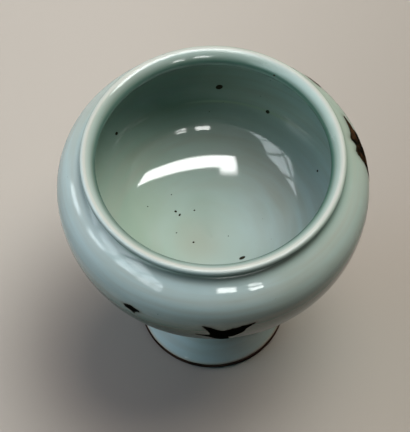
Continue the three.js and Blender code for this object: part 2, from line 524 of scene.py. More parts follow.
def turning_tree():
    """Geometry Nodes that turn an outline about Z, as on a wheel, with faint throwing rings."""
    tree, given, end = new_tree("Turn on the wheel", "GeometryNodeTree", (
        ("Outline", "Geometry"), ("Segments Around", "Int"), ("Material", "Material"),
        ("Ring Depth", "Float"), ("Rings Per Metre", "Float"),
        ("Swell Depth", "Float"), ("Swells Per Metre", "Float"),
    ), (("Turned", "Geometry"),))
    outline = given["Outline"]
    count = add_node(tree, "GeometryNodeAttributeDomainSize", Geometry=outline).outputs["Point Count"]
    grid = add_node(tree, "GeometryNodeMeshGrid", Size_X=1, Size_Y=1, Vertices_Y=count,
                    Vertices_X=maths(tree, "ADD", given["Segments Around"], 1))
    place = parts_of(tree, position(tree))
    last_row = maths(tree, "SUBTRACT", count, 1)
    row = maths(tree, "ROUND", product(tree, maths(tree, "ADD", place["Y"], 0.5), last_row))
    on_points = {"data_type": "FLOAT", "domain": "POINT"}
    on_corners = {"data_type": "FLOAT2", "domain": "CORNER"}
    made = grid.outputs["Mesh"]
    for mark in ("pool_and_shade", "thin", "dull", "bare_edge", "along", "skin"):
        sampled = result_of(tree, "GeometryNodeSampleIndex", on_points, Geometry=outline,
                            Value=named(tree, mark), Index=row)
        made = result_of(tree, "GeometryNodeStoreNamedAttribute", on_points, Geometry=made, Name=mark,
                         Value=sampled)
    made = result_of(tree, "GeometryNodeStoreNamedAttribute", on_corners, Geometry=made, Name="UVMap",
                     Value=grid.outputs["UV Map"])
    outline_point = result_of(tree, "GeometryNodeSampleIndex", {"data_type": "FLOAT_VECTOR"},
                              Geometry=outline, Value=position(tree), Index=row)
    angle = product(tree, maths(tree, "ADD", place["X"], 0.5), 2 * math.pi)
    turned = result_of(tree, "ShaderNodeVectorRotate", {"rotation_type": "Z_AXIS"}, Vector=outline_point,
                       Angle=angle)
    laid = result_of(tree, "GeometryNodeSetPosition", Geometry=made, Position=turned)
    whole = result_of(tree, "GeometryNodeMergeByDistance", Geometry=laid, Distance=merge_distance)
    around = parts_of(tree, vector_maths(tree, "SCALE", position(tree), unevenness_around))
    depth = 0
    for rate, amount in (("Rings Per Metre", "Ring Depth"), ("Swells Per Metre", "Swell Depth")):
        station = product(tree, named(tree, "along"), given[rate])
        where = result_of(tree, "ShaderNodeCombineXYZ", X=around["X"], Y=around["Y"], Z=station)
        rings = result_of(tree, "ShaderNodeTexNoise", {"noise_dimensions": "3D"}, Vector=where, Scale=1.0,
                          Detail=1.0)
        depth = maths(tree, "ADD", depth, product(tree, rings, given[amount]))
    inwards = product(tree, depth, named(tree, "skin"), -1)
    normal = result_of(tree, "GeometryNodeInputNormal")
    ringed = result_of(tree, "GeometryNodeSetPosition", Geometry=whole,
                       Offset=vector_maths(tree, "SCALE", normal, inwards))
    tree.links.new(finished(tree, ringed, given["Material"]), end["Turned"])
    return tree


def finished(tree, geometry, material):
    """The last steps of a tree: smooth shading, real geometry in place of instances, and the material."""
    smooth = result_of(tree, "GeometryNodeSetShadeSmooth", Geometry=geometry)
    realized = result_of(tree, "GeometryNodeRealizeInstances", Geometry=smooth)
    return result_of(tree, "GeometryNodeSetMaterial", Geometry=realized, Material=material)


def run_tree(holder, tree, values):
    """Runs a Geometry Nodes tree on the holder and leaves the result in it as a plain mesh."""
    modifier = holder.modifiers.new(tree.name, "NODES")
    modifier.node_group = tree
    for item in tree.interface.items_tree:
        if item.item_type == "SOCKET" and item.in_out == "INPUT" and item.name in values:
            modifier[item.identifier] = values[item.name]
    graph = bpy.context.evaluated_depsgraph_get()
    made = bpy.data.meshes.new_from_object(
        holder.evaluated_get(graph), preserve_all_data_layers=True, depsgraph=graph)
    holder.modifiers.clear()
    holder.data = made
    made.name = holder.name


def ranged(tree, value, low, high, results=(0.0, 1.0), kind="LINEAR"):
    """The value carried from one range to another, and held inside it."""
    return result_of(tree, "ShaderNodeMapRange", {"interpolation_type": kind}, Value=value, From_Min=low,
                     From_Max=high, To_Min=results[0], To_Max=results[1])


def mottling_group():
    """Soft clouds and fine grain that vary a fired surface, for glaze, clay and slip alike."""
    group, given, end = new_tree("Kiln mottling", "ShaderNodeTree", (
        ("Vector", "Vector"), ("Cloud Scale", "Float"), ("Grain Scale", "Float"),
    ), (("Clouds", "Float"), ("Grain", "Float")))
    clouds = result_of(group, "ShaderNodeTexNoise", Vector=given["Vector"], Scale=given["Cloud Scale"],
                       Detail=2.0, Roughness=0.5, Distortion=0.4)
    grain = result_of(group, "ShaderNodeTexNoise", Vector=given["Vector"], Scale=given["Grain Scale"],
                      Detail=3.0, Roughness=0.6)
    group.links.new(ranged(group, clouds, 0.3, 0.7), end["Clouds"])
    group.links.new(grain, end["Grain"])
    return group


def pinprick_group():
    """Scattered pinprick dots, as left by tiny iron grains in clay and glaze."""
    group, given, end = new_tree("Iron pinpricks", "ShaderNodeTree", (
        ("Vector", "Vector"), ("Scale", "Float"), ("Dot Radius", "Float"), ("Share", "Float"),
    ), (("Dots", "Float"),))
    cells = add_node(group, "ShaderNodeTexVoronoi", Vector=given["Vector"], Scale=given["Scale"]).outputs
    chance = result_of(group, "ShaderNodeSeparateColor", Color=cells["Color"])
    chosen = maths(group, "LESS_THAN", chance, given["Share"])
    radius = given["Dot Radius"]
    dot = ranged(group, cells["Distance"], product(group, radius, 0.5), radius, (1.0, 0.0), "SMOOTHSTEP")
    group.links.new(product(group, dot, chosen), end["Dots"])
    return group


mottling = mottling_group()
pinpricks = pinprick_group()


def material_with(name):
    """A new material, its tree, its surface shader and its Object coordinates."""
    material = bpy.data.materials.new(name)
    material.use_nodes = True
    tree = material.node_tree
    shader = tree.nodes["Principled BSDF"]
    coordinates = tree.nodes.new("ShaderNodeTexCoord").outputs["Object"]
    return material, tree, shader, coordinates


def mottled(tree, coordinates, cloud_scale, grain_scale):
    """The clouds and the grain of a fired surface, at the given scales."""
    outputs = add_node(tree, "ShaderNodeGroup", {"node_tree": mottling}, Vector=coordinates,
                       Cloud_Scale=cloud_scale, Grain_Scale=grain_scale).outputs
    return outputs["Clouds"], outputs["Grain"]


def pinpricked(tree, coordinates, scale, radius, share):
    return result_of(tree, "ShaderNodeGroup", {"node_tree": pinpricks}, Vector=coordinates, Scale=scale,
                     Dot_Radius=radius, Share=share)


def mixed(tree, factor, first, second):
    """Two colours mixed by a factor. They are the node's inputs number 6 and 7."""
    node = add_node(tree, "ShaderNodeMix", {"data_type": "RGBA"}, Factor=factor)
    put(tree, node, 6, first)
    put(tree, node, 7, second)
    return node.outputs[2]


def attribute(tree, name):
    return add_node(tree, "ShaderNodeAttribute", {"attribute_name": name}).outputs["Fac"]


def layered(tree, colour, layers):
    for mark, strength, over in layers:
        colour = mixed(tree, product(tree, attribute(tree, mark), strength), colour, over)
    return colour


# The blue celadon is also the paler, bluer tone laid on the sides lit by cool daylight, as painted light.
celadon_blue = (0.530, 0.665, 0.675, 1)
celadon_green = (0.350, 0.455, 0.375, 1)
celadon_warm = (0.420, 0.425, 0.360, 1)
# Dark green of thick pooled glaze, laid on also as painted shade in the crease, under the belly and inside.
pooled_and_shaded_green = (0.018, 0.104, 0.066, 1)
thin_ivory = (0.555, 0.570, 0.525, 1)
edge_tan = (0.620, 0.490, 0.370, 1)
iron_brown = (0.060, 0.038, 0.020, 1)
stain_tan = (0.300, 0.280, 0.190, 1)
seam_green = (0.360, 0.520, 0.360, 1)
pinprick_black = (0.020, 0.018, 0.012, 1)
# A mottling has its clouds and its grain per metre; pinpricks have theirs, and their radius and share.
glaze_mottling = (28.0, 900.0)
glaze_pinpricks = (160.0, 0.035, 0.03)
blue_clouding = 0.3
streak_stretch = (14.0, 14.0, 240.0)
streak_start = 0.42
streak_strength = 1.6
stain_strength = 0.3
pinprick_strength = 0.8
# Colours laid over the glaze one by one: the mark that says where, how strongly, and the colour.
# The pool mark is pooled glaze and painted shade together.
glaze_layers = (("pool_and_shade", 1.0, pooled_and_shaded_green), ("thin", 0.9, thin_ivory), ("bare_edge", 1.0, edge_tan))
iron_layers = (("seam_line", 0.5, seam_green), ("iron_halo", 0.6, iron_brown))
glaze_roughness = (0.03, 0.08)
glaze_refraction = 1.5
flame_roughness = 0.07
bare_edge_roughness = 0.4
ripple_stretch = (260.0, 260.0, 420.0)
ripple_height = 3.5
glaze_relief = 0.03
glaze_relief_depth = 0.0002


def celadon(name, has_iron):
    """The glaze: green to blue with warm streaks, bluer as painted light on one side, dark where it pools and
    where shade is painted, ivory where it is thin, and glossy.
    """
    material, tree, shader, coordinates = material_with(name)
    clouds, grain = mottled(tree, coordinates, *glaze_mottling)
    cloudy = maths(tree, "MULTIPLY_ADD", clouds, blue_clouding, -blue_clouding / 2)
    # Painted light: the sides that cool daylight falls on are bluer and paler. The clouds vary it at random.
    blueness = maths(tree, "ADD", attribute(tree, "painted_daylight_side"), cloudy)
    colour = mixed(tree, blueness, celadon_green, celadon_blue)
    stretched = vector_maths(tree, "MULTIPLY", coordinates, streak_stretch)
    streaks = result_of(tree, "ShaderNodeTexNoise", Vector=stretched, Scale=1.0, Detail=3.0)
    warm = product(tree, excess(tree, streaks, streak_start), streak_strength)
    colour = mixed(tree, warm, colour, celadon_warm)
    colour = layered(tree, colour, glaze_layers)
    if has_iron:
        stain = product(tree, attribute(tree, "floor_stain"), clouds, stain_strength)
        colour = layered(tree, mixed(tree, stain, colour, stain_tan), iron_layers)
    dots = product(tree, pinpricked(tree, coordinates, *glaze_pinpricks), pinprick_strength)
    put(tree, shader, "Base Color", mixed(tree, dots, colour, pinprick_black))
    flame = attribute(tree, "flame_side")
    dryness = maths(tree, "ADD", attribute(tree, "dull"), ranged(tree, grain, 0.0, 1.0, glaze_roughness))
    dryness = maths(tree, "MULTIPLY_ADD", flame, flame_roughness, dryness)
    dryness = maths(tree, "MULTIPLY_ADD", attribute(tree, "bare_edge"), bare_edge_roughness, dryness)
    put(tree, shader, "Roughness", dryness)
    shader.inputs["IOR"].default_value = glaze_refraction
    rippled = vector_maths(tree, "MULTIPLY", coordinates, ripple_stretch)
    ripple = result_of(tree, "ShaderNodeTexNoise", Vector=rippled, Scale=1.0, Detail=1.0)
    relief = maths(tree, "ADD", product(tree, ripple, flame, ripple_height), grain)
    put(tree, shader, "Normal", result_of(tree, "ShaderNodeBump", Height=relief, Strength=glaze_relief,
                                          Distance=glaze_relief_depth))
    return material


coat_glaze = celadon("celadon_coat_glaze", True)
turning = turning_tree()
coat_outline = np.vstack([coat_back[::-1], coat_face])
back_points = len(coat_back)
plain_edge_points = 4
coat_values = coat_marks(coat_face)
coat_values["skin"] = (np.arange(len(coat_face)) >= plain_edge_points) * 1.0
coat_values = {mark: np.append(np.zeros(back_points), values) for mark, values in coat_values.items()}
celadon_coat = outline_object("celadon_coat", coat_outline, coat_values)
run_tree(celadon_coat, turning, {
    "Segments Around": segments_around, "Ring Depth": 0.014 * MM, "Rings Per Metre": 200.0,
    "Swell Depth": 0.10 * MM, "Swells Per Metre": 40.0, "Material": coat_glaze,
})
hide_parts("glaze_coat")
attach(celadon_coat, "root")

# Glaze in the hollow foot
# The same glaze, poured in and swilled round inside the foot before the bowl was dipped. It covers the
# well's walls and ceiling, and stops short of the bare ring.
bare_well_height = 3
neck_wall = 7
well_corner_radius = 6
well_flare_slope = 1.3
foot_ring_width = 7.5
well_step = 1.5
well_back_step = 3.0
well_edge_rise = 0.3
well_edge_shift = (0.7, -0.1)
well_pool = 0.5
well_pool_place = (14, 6)


def well_inside():
    radius = neck_radius - neck_wall
    ceiling = base_height - clay_depth
    corner = arc((radius - well_corner_radius, ceiling - well_corner_radius), well_corner_radius,
                 well_corner_radius, 90, 0)
    edge = (foot_radius - foot_ring_width, bare_well_height + fit_gap)
    flare = blend((radius, neck_height), (0, -1), edge, (1, -well_flare_slope))
    return joined([(0, ceiling)], corner, flare)


whole_well = well_inside()
well_face = stepped(whole_well, lambda length: well_step)
well_back = inset(stepped(whole_well, lambda length: well_back_step), glaze_thickness)
well_face[-1, 1] += well_edge_rise
well_back[-1] = well_face[-1] + well_edge_shift
well_outline = np.vstack([well_face, well_back[::-1]])
well_lengths = lengths_along(well_face)
well_marks = {
    "pool_and_shade": well_pool * near(well_lengths, *well_pool_place),
    "bare_edge": near(well_lengths, well_lengths[-1], bare_edge_width),
    "skin": np.ones(len(well_face)),
}
well_marks = {mark: np.append(values, np.zeros(len(well_back))) for mark, values in well_marks.items()}
foot_well_coat = outline_object("foot_well_coat", well_outline, well_marks)
run_tree(foot_well_coat, turning, {
    "Segments Around": 128, "Ring Depth": 0.02 * MM, "Rings Per Metre": 180.0,
    "Swell Depth": 0.1 * MM, "Swells Per Metre": 50.0, "Material": celadon("foot_well_glaze_finish", False),
})
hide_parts("foot_well_glaze")
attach(foot_well_coat, "root")

# Stem foot
# Thrown and turned hollow in dark iron-bearing stoneware, and luted to the bowl's base with slip. Its
# standing ring is wiped bare of glaze and fires dark brown.
foot_ring_edge = 0.6
ledge_roundness = 0.3
slip_thickness = 0.8
clay_step = 2.0
edge_clearance = 0.6
ceiling_thickness = 4
ledge_depth = 0.2
ring_top_slope = 0.3
ring_points = 12


def stem_clay():
    """The foot's clay in half section: the ring, the outside, the flat top and the hollow well."""
    top = base_height - 2 * fit_gap - slip_thickness
    outside = inset(stepped(whole_outside, lambda length: clay_step), clay_depth)
    outside = outside[: (outside[:, 1] > top).argmax()]
    outside = outside[outside[:, 1] > bare_ring_height + edge_clearance]
    well = inset(stepped(whole_well, lambda length: clay_step), clay_depth)
    well = well[(well[:, 1] < top - ceiling_thickness) & (well[:, 1] > bare_well_height + edge_clearance)]
    ring_inside = foot_radius - foot_ring_width
    edge = foot_ring_edge
    inner_edge = arc((ring_inside + edge, edge), edge, edge, 180, 270)
    outer_edge = arc((foot_radius - edge, edge), edge, edge, 270, 360)
    ledge_centre = (foot_radius - ledge_roundness, bare_ring_height - ledge_roundness)
    ledge = arc(ledge_centre, ledge_roundness, ledge_roundness, 0, 90)
    bottom_radii = np.linspace(ring_inside + edge, foot_radius - edge, ring_points)
    bottom = np.column_stack([bottom_radii, np.zeros(ring_points)])
    ledge_in = [(outside[0][0] + ledge_depth, bare_ring_height)]
    corners = [(outside[-1][0], top), (well[0][0], top), (well[0][0], top - ceiling_thickness)]
    ring_top = np.array([
        (well[-1][0], bare_well_height + ring_top_slope),
        (ring_inside, bare_well_height - ring_top_slope),
    ])
    return joined(ring_top, inner_edge[::6], bottom, outer_edge[::6], ledge[::10], ledge_in, outside, corners,
                  well, ring_top[:1])


stoneware_dark = (0.022, 0.013, 0.010, 1)
stoneware_red = (0.085, 0.045, 0.032, 1)
grog_pale = (0.110, 0.080, 0.055, 1)
clay_mottling = (60.0, 1600.0)
clay_grog = (700.0, 0.25, 0.12)
grog_strength = 0.5
clay_roughness = (0.6, 0.85)
clay_relief = 0.35
clay_relief_depth = 0.0003
bare_ring_top = 1.0


def dry_surface(tree, shader, colour, grain, roughness, relief, depth):
    """A surface without shine, whose roughness and relief follow its grain."""
    put(tree, shader, "Base Color", colour)
    put(tree, shader, "Roughness", ranged(tree, grain, 0.0, 1.0, roughness))
    shader.inputs["Specular IOR Level"].default_value = 0.0
    bump = result_of(tree, "ShaderNodeBump", Height=grain, Strength=relief, Distance=depth)
    put(tree, shader, "Normal", bump)


def bare_clay(name, dark, light):
    """Unglazed fired clay: cloudy and grainy, with pale specks of grog."""
    material, tree, shader, coordinates = material_with(name)
    clouds, grain = mottled(tree, coordinates, *clay_mottling)
    colour = mixed(tree, clouds, dark, light)
    grog = product(tree, pinpricked(tree, coordinates, *clay_grog), grog_strength)
    colour = mixed(tree, grog, colour, grog_pale)
    dry_surface(tree, shader, colour, grain, clay_roughness, clay_relief, clay_relief_depth)
    return material


foot_clay_finish = bare_clay("foot_stoneware", stoneware_dark, stoneware_red)
clay_outline = stem_clay()
foot_clay = outline_object("foot_clay", clay_outline, {"skin": (clay_outline[:, 1] < bare_ring_top) * 1.0})
run_tree(foot_clay, turning, {
    "Segments Around": 192, "Ring Depth": 0.08 * MM, "Rings Per Metre": 600.0,
    "Swell Depth": 0.0, "Swells Per Metre": 50.0, "Material": foot_clay_finish,
})
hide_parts("stem_foot")
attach(foot_clay, "root")

# Thrown bowl sections and joining slip
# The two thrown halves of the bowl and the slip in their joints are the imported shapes. They lie under the
# glaze, and the halves are a lighter brown than the bare foot because no flame reaches them.
wall_clay = bare_clay("wall_stoneware", (0.150, 0.085, 0.050, 1), (0.240, 0.150, 0.095, 1))
slip_clay = bare_clay("joining_slip_finish", (0.260, 0.190, 0.130, 1), (0.360, 0.280, 0.200, 1))
for node_name, finish in (("lower_bowl", wall_clay), ("upper_bowl", wall_clay),
                          ("body_seam_slip", slip_clay), ("foot_joint_slip", slip_clay)):
    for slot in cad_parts[node_name].material_slots:
        slot.material = finish

# Iron splashes
# Iron pigment flicked on with a loaded brush before firing. Each splash sits in the glaze as a thin,
# slightly raised skin, near black where it is thick and red-brown where it is thin.
splash_cell = 0.4
splash_rise = 0.04
splash_sink = 0.05
splash_back = 0.35
splash_dome = 1.4
splash_margin = 1.5
splash_join = 0.35
least_steepness = 0.3
# The edge wanders in coarse and fine waves: how far, how many per millimetre, and a place in the noise.
ragged_waves = ((0.30, 0.9, 3.0), (0.16, 2.6, 7.0))
# Each stroke runs between two places, given as turn in degrees, height and half width.
front_splash = (
    ((-93.2, 132.2, 0.7), (-91.3, 129.6, 1.7)), ((-91.3, 129.6, 1.7), (-88.6, 125.0, 3.4)),
    ((-87.6, 121.8, 4.8), (-84.6, 121.5, 5.8)), ((-84.6, 121.5, 5.8), (-81.6, 124.6, 4.6)),
    ((-81.6, 124.6, 4.6), (-78.7, 128.4, 2.3)), ((-78.7, 128.4, 2.3), (-74.9, 131.2, 0.7)),
    ((-95.6, 121.0, 0.8), (-92.0, 119.6, 1.2)), ((-92.0, 119.6, 1.2), (-88.5, 117.0, 3.0)),
    ((-87.4, 117.0, 4.2), (-85.6, 109.5, 3.0)),
)
left_splash = (
    ((-121.9, 130.5, 2.1), (-120.3, 130.5, 2.9)), ((-120.3, 130.5, 2.9), (-117.9, 131.0, 1.6)),
    ((-119.8, 128.3, 1.0), (-119.2, 126.3, 0.6)),
)
right_splash = (
    ((25.6, 148.6, 0.7), (21.4, 147.8, 1.5)), ((21.4, 147.8, 1.5), (17.6, 147.6, 2.6)),
    ((17.6, 145.6, 3.2), (14.6, 146.2, 4.6)), ((14.2, 146.6, 4.8), (11.6, 145.4, 3.2)),
    ((11.6, 145.4, 3.2), (9.0, 145.0, 4.9)), ((9.0, 145.0, 4.9), (4.2, 139.6, 2.6)),
    ((12.0, 139.5, 2.8), (8.0, 132.5, 1.2)), ((4.2, 139.6, 2.6), (1.4, 135.0, 1.0)),
)
back_splash = (((51.5, 143.0, 1.4), (47.5, 144.8, 3.0)), ((47.5, 144.8, 3.0), (43.9, 146.3, 1.6)))
splashes = {"front": front_splash, "left": left_splash, "right": right_splash, "back": back_splash}
splash_rust = {"front": 0.1, "left": 0.2, "right": 1.0, "back": 0.8}
outside_wall = coat_face[: coat_face[:, 1].argmax()]
outside_normals = -left_normals(outside_wall)
turn_length = math.radians(1) * belly_radius


def ragged(x, y):
    return sum(reach * noise.noise(Vector((x * rate, y * rate, layer)))
               for reach, rate, layer in ragged_waves)


def splash_distance(strokes, turn, height):
    """Distance to the edge of the splash, negative inside it, with a ragged edge."""
    middle = sum(end[0] for stroke in strokes for end in stroke) / (2 * len(strokes))
    across = (turn - middle) * turn_length
    total = 0
    for (turn_a, height_a, width_a), (turn_b, height_b, width_b) in strokes:
        start, run = (turn_a - middle) * turn_length, (turn_b - turn_a) * turn_length
        rise = height_b - height_a
        share = np.clip(((across - start) * run + (height - height_a) * rise) / (run**2 + rise**2), 0, 1)
        apart = np.hypot(across - start - share * run, height - height_a - share * rise)
        total = total + np.exp(-(apart - width_a - share * (width_b - width_a)) / splash_join)
    return -splash_join * np.log(total) + np.vectorize(ragged)(across, height)


def on_outside(turn, height, out):
    """A point on the coat's outside, moved outwards."""
    heights = outside_wall[:, 1]
    columns = (outside_wall[:, 0], outside_normals[:, 0], outside_normals[:, 1])
    radius, normal_r, normal_z = (np.interp(height, heights, column) for column in columns)
    angle = np.radians(turn)
    reach = radius + normal_r * out
    return np.column_stack([reach * np.cos(angle), reach * np.sin(angle), height + normal_z * out]) * MM


def splash_piece(name, strokes, rust, finish):
    """A thin domed skin: a grid laid on the coat, drawn in to the splash's edge, with a back and a rim."""
    turn_ends, height_ends, widths = np.array(strokes).reshape(-1, 3).T
    step = splash_cell / turn_length
    turns = np.arange(min(turn_ends - widths) - 2 * step, max(turn_ends + widths) + 2 * step, step)
    lowest, highest = min(height_ends - widths) - splash_margin, max(height_ends + widths) + splash_margin
    turn, height = np.meshgrid(turns, np.arange(lowest, highest, splash_cell), indexing="ij")
    edge = splash_distance(strokes, turn, height)
    slope_turn, slope_height = np.gradient(edge, splash_cell)
    drawn_in = np.maximum(edge, 0) / np.maximum(slope_turn**2 + slope_height**2, least_steepness)
    turn = turn - drawn_in * slope_turn / turn_length
    height = height - drawn_in * slope_height
    inside = edge < 0
    number = np.arange(edge.size).reshape(edge.shape)
    cells = inside[:-1, :-1] | inside[1:, :-1] | inside[1:, 1:] | inside[:-1, 1:]
    corners = (number[:-1, :-1], number[1:, :-1], number[1:, 1:], number[:-1, 1:])
    used, top = np.unique(np.column_stack([corner[cells] for corner in corners]), return_inverse=True)
    top = top.reshape(-1, 4)
    count = len(used)
    depth = np.clip(-edge.ravel()[used] / splash_dome, 0, 1)
    rise = -splash_sink + (splash_rise + splash_sink) * np.sqrt(depth * (2 - depth))
    upper = on_outside(turn.ravel()[used], height.ravel()[used], rise)
    lower = on_outside(turn.ravel()[used], height.ravel()[used], np.full(count, -splash_back))
    pairs = {tuple(pair) for k in range(4) for pair in top[:, [k, (k + 1) % 4]]}
    walls = [(b, a, a + count, b + count) for a, b in sorted(pairs) if (b, a) not in pairs]
    mesh = bpy.data.meshes.new(name)
    mesh.from_pydata(np.vstack([upper, lower]).tolist(), [],
                     top.tolist() + (top[:, ::-1] + count).tolist() + walls)
    set_mark(mesh, "pigment", np.append(depth, 0 * depth))
    set_mark(mesh, "rust", np.full(2 * count, rust))
    mesh.shade_smooth()
    mesh.materials.append(finish)
    piece = new_object(name, mesh)
    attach(piece, "root")


pigment_black = (0.004, 0.005, 0.004, 1)
pigment_brown = (0.064, 0.030, 0.013, 1)
pigment_edge = (0.030, 0.028, 0.018, 1)
pigment_mottling = (260.0, 1500.0)
pigment_thin = 0.5
pigment_roughness = (0.12, 0.4)
pigment_relief = 0.4
pigment_relief_depth = 0.0002


def iron_pigment(name):
    """Melted iron: near black, rusty in cloudy patches, and olive brown where it thins out at its edge."""
    material, tree, shader, coordinates = material_with(name)
    clouds, grain = mottled(tree, coordinates, *pigment_mottling)
    rusty = product(tree, maths(tree, "POWER", clouds, 2.0), attribute(tree, "rust"))
    colour = mixed(tree, rusty, pigment_black, pigment_brown)
    body = ranged(tree, attribute(tree, "pigment"), 0.0, pigment_thin)
    colour = mixed(tree, body, pigment_edge, colour)
    dry_surface(tree, shader, colour, grain, pigment_roughness, pigment_relief, pigment_relief_depth)
    return material


splash_finish = iron_pigment("iron_pigment")
for place, strokes in splashes.items():
    splash_piece("iron_splash_" + place, strokes, splash_rust[place], splash_finish)

# Iron specks
# Small round spots of iron that burned out of the clay inside the bowl, each a low bead in the glaze.
# A speck has its turn in degrees, its distance from the middle of the floor, its two half widths and its
# own spin. The stray ones are pinpricks scattered over the whole coat.
placed_specks = (
    (87.5, 88.2, 2.0, 1.5, 20), (64.5, 78.9, 1.1, 1.1, 0), (138.4, 81.2, 0.95, 0.95, 0),
    (-37.3, 20.0, 1.8, 0.9, 25), (58.4, 137.5, 0.6, 0.5, 0), (27.4, 69.6, 0.6, 0.6, 0),
    (142.1, 25.8, 0.7, 0.6, 0), (142.3, 22.9, 0.9, 0.5, 60), (120.4, 19.9, 0.5, 0.45, 0),
    (171.0, 19.9, 0.4, 0.35, 0), (-168.6, 10.6, 0.6, 0.5, 10), (132.2, 34.2, 0.3, 0.3, 0),
    (155.2, 39.7, 0.35, 0.3, 0),
)
speck_height = 0.16
stray_specks = 46
stray_seed = 11
stray_from_edge = 6
stray_size = 0.12
stray_size_spread = 0.18


def coat_point(turn, station):
    """A point and its outward direction on the coat, at a turn and a length along the outline."""
    columns = np.hstack([coat_face, -left_normals(coat_face)])
    lengths = lengths_along(coat_face)
    radius, height, out_r, out_z = (np.interp(station, lengths, column) for column in columns.T)
    across, along = math.cos(math.radians(turn)), math.sin(math.radians(turn))
    return (
        Vector((radius * across, radius * along, height)) * MM,
        Vector((out_r * across, out_r * along, out_z)).normalized(),
    )


def speck_points():
    """Points that carry each speck's direction, size and turn."""
    lengths = lengths_along(coat_face)
    whole = lengths[-1]
    rows = [(turn, whole - distance, long, wide, spin) for turn, distance, long, wide, spin in placed_specks]
    chance = np.random.default_rng(stray_seed)
    while len(rows) < len(placed_specks) + stray_specks:
        station = chance.uniform(stray_from_edge, whole)
        if chance.uniform(0, belly_radius) < np.interp(station, lengths, coat_face[:, 0]):
            size = stray_size + stray_size_spread * chance.random() ** 3
            rows.append((chance.uniform(-180, 180), station, size, size, 0))
    places, normals = zip(*[coat_point(row[0], row[1]) for row in rows])
    mesh = bpy.data.meshes.new("iron_specks")
    mesh.from_pydata(places, [], [])
    set_mark(mesh, "out", normals, "FLOAT_VECTOR")
    set_mark(mesh, "size", [(row[2] * MM, row[3] * MM, speck_height * MM) for row in rows], "FLOAT_VECTOR")
    set_mark(mesh, "spin", [math.radians(row[4]) for row in rows])
    return new_object("iron_specks", mesh)


def bead_tree():
    """Geometry Nodes that lay a low, slightly uneven bead on every point."""
    tree, given, end = new_tree("Lay beads", "GeometryNodeTree", (
        ("Points", "Geometry"), ("Facets Around", "Int"), ("Unevenness", "Float"), ("Material", "Material"),
    ), (("Beads", "Geometry"),))
    bead = result_of(tree, "GeometryNodeMeshUVSphere", Segments=given["Facets Around"], Rings=6, Radius=1.0)
    spun = result_of(tree, "ShaderNodeCombineXYZ", Z=named(tree, "spin"))
    facing = result_of(tree, "FunctionNodeAlignRotationToVector", {"axis": "Z"},
                       Vector=named(tree, "out", "FLOAT_VECTOR"))
    turned = result_of(tree, "FunctionNodeRotateRotation", {"rotation_space": "LOCAL"}, Rotation=facing,
                       Rotate_By=spun)
    laid = result_of(tree, "GeometryNodeInstanceOnPoints", Points=given["Points"], Instance=bead,
                     Rotation=turned, Scale=named(tree, "size", "FLOAT_VECTOR"))
    solid = result_of(tree, "GeometryNodeRealizeInstances", Geometry=laid)
    noisy = add_node(tree, "ShaderNodeTexNoise", Vector=position(tree), Scale=900.0, Detail=1.0)
    centred = vector_maths(tree, "SUBTRACT", noisy.outputs["Color"], (0.5, 0.5, 0.5))
    uneven = result_of(tree, "GeometryNodeSetPosition", Geometry=solid,
                       Offset=vector_maths(tree, "SCALE", centred, given["Unevenness"]))
    tree.links.new(finished(tree, uneven, given["Material"]), end["Beads"])
    return tree


iron_specks = speck_points()
run_tree(iron_specks, bead_tree(), {
    "Facets Around": 16, "Unevenness": 0.0002, "Material": iron_pigment("iron_speck_pigment"),
})
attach(iron_specks, "root")

# Stains, and painted light and shade in the glaze
# A little iron runs out of each splash and stains the glaze around it, and the floor has a faint tan stain.
# The glaze also ran in the kiln, and it is duller on some sides of the bowl than on others. It is painted
# bluer and paler where cool daylight falls, and darker or lighter in places, as painted light and painted
# shade.
# A turn is in degrees from the right-hand side, and a pair is where a change starts and where it is full.
halo_turns = 22
halo_heights = 40
halo_reach = 0.9
stain_turn = -172
stain_radius = 8
stain_size = 11
seam_line_width = 0.6
seam_line_start = (45, 60)
seam_line_end = (105, 90)
flame_turn = -155
flame_reach = 42
flame_heights = (belly_height - 12, belly_height - 4)
outer_blue_turn = -136
inner_blue_turn = 5
inner_blue_swing = 0.55
middle_fade = (0, 45)
throat_blue_fade = (152, 144)
# Patches inside the bowl, as painted shade and light: turn, how far round, height, how far up and down, and
# how much darker the glaze is painted, lighter where negative.
wall_patches = ((112, 26, 112, 26, 0.40), (18, 34, 118, 24, -0.16), (58, 18, 116, 18, -0.20))
# Painted light on the left inner wall, painted shade on the front of the floor, and painted light on the
# inner lip, more on the left.
left_wall = (103, 13)
left_wall_painted_light = -0.30
front_floor = (-45, 50)
front_floor_fade = (100, 80)
front_floor_painted_shade = 0.12
# Painted shade on the front right of the lower belly. Painted light on the foot's sides and in the crease on
# the left.
shaded_belly_side = (-70, 45)
shaded_belly_fades = ((belly_height + 7, belly_height - 11), (84, 104))
shaded_belly_depth = 0.75
foot_front = (-88, 34)
foot_fade = (60, 40)
foot_sides_painted_light = -0.20
lip_fade = (153, 157)
inner_lip_light_shares = (0.24, 0.76)
inner_lip_left_painted_light = -0.12
crease_left = (158.5, 3.5)
crease_left_painted_light = -0.32
lip_face = (4.5, 4.0)
lip_face_turns = (38, 50)
lip_face_dullness = 0.30


def coat_mark(name):
    values = np.empty(len(celadon_coat.data.vertices))
    celadon_coat.data.attributes[name].data.foreach_get("value", values)
    return values


def towards(turn, side, sharpness=1):
    """One on the given side of the bowl, falling softly to nothing on the far side."""
    return (0.5 + 0.5 * np.cos(np.radians(turn - side))) ** sharpness


def iron_halo(turn, height, outside):
    """How much iron has run out of the splashes, round each of them."""
    halo = np.zeros(len(turn))
    for strokes in splashes.values():
        ends = [end for stroke in strokes for end in stroke]
        middle = sum(end[0] for end in ends) / len(ends)
        close = outside & (abs(turn - middle) < halo_turns) & (abs(height - ends[0][1]) < halo_heights)
        distance = splash_distance(strokes, turn[close], height[close])
        halo[close] = np.maximum(halo[close], np.exp(-np.maximum(distance, 0) / halo_reach))
    return halo


